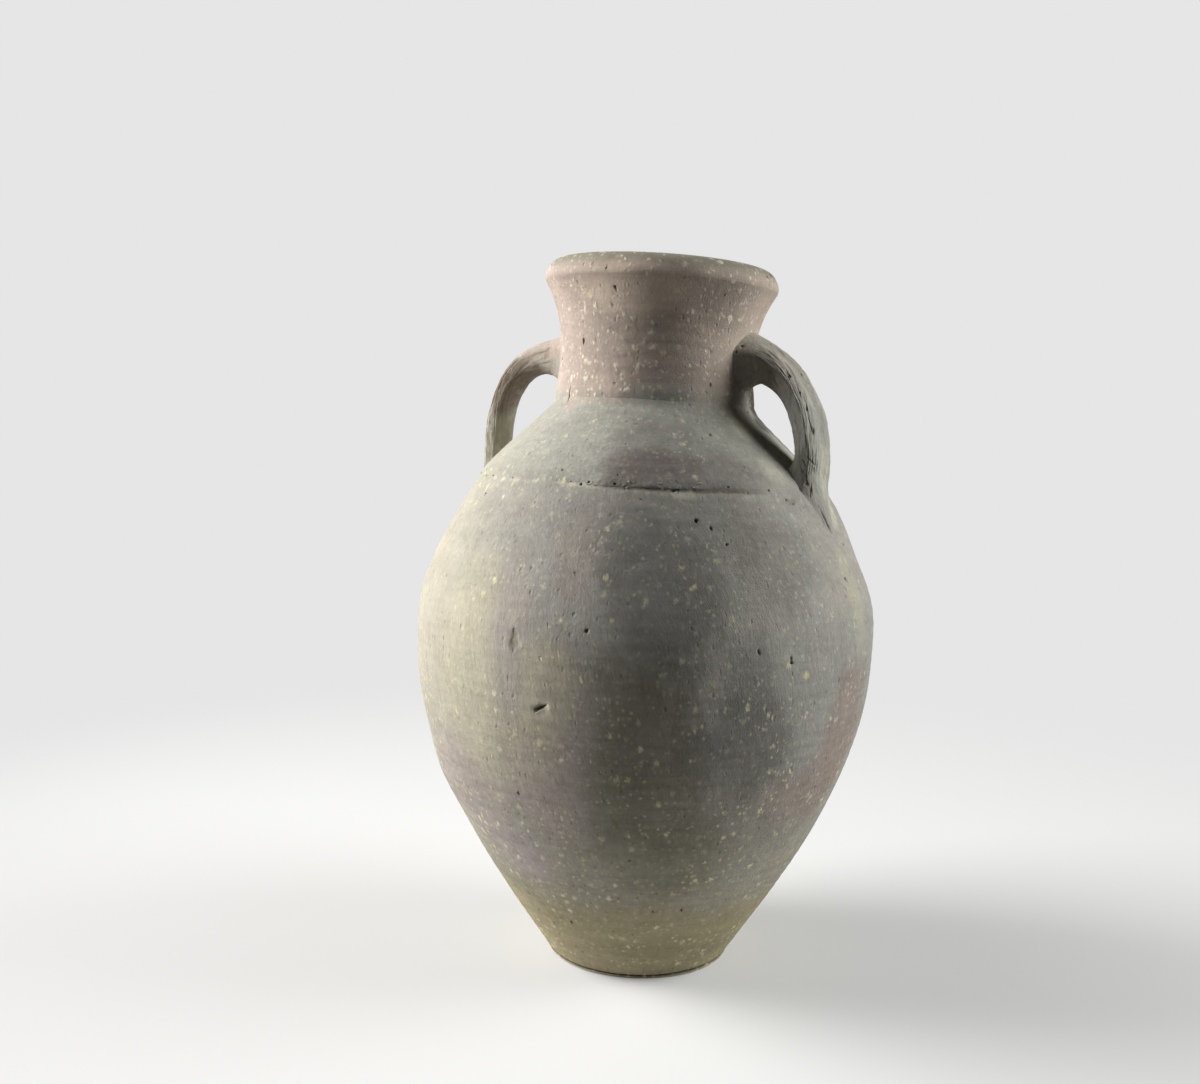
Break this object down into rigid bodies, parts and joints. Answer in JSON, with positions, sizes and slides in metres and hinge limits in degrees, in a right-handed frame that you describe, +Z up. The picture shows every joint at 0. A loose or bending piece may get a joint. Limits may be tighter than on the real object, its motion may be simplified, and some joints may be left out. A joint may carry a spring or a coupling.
{
  "type": "amphora vase",
  "caption": "Tall round-bellied clay vase on a narrow flat foot, with a waisted neck, a flared rolled rim and strap handles from neck to shoulder.",
  "frame": {"origin": "middle of the foot's flat underside", "axes": "+Z up, the two handles lie along X"},
  "size_m": [0.2637, 0.2637, 0.4031],
  "materials": {
    "foot_clay": "matte, olive, rough trimmed",
    "body_clay": "matte, grey olive with pale lime specks and pits",
    "neck_clay": "matte, reddish brown with pale lime specks",
    "handle_clay": "matte, grey with long drawn ribs"
  },
  "bodies": {
    "root": {"base_disc": "foot_clay", "lower_body": "body_clay", "shoulder": "body_clay", "neck": "neck_clay", "shoulder_seam_coil": "body_clay", "neck_seam_coil": "neck_clay", "handle_right": "handle_clay", "handle_left": "handle_clay", "neck_bed_right": "handle_clay", "neck_bed_left": "handle_clay", "shoulder_bed_right": "handle_clay", "shoulder_bed_left": "handle_clay"}
  },
  "joints": []
}
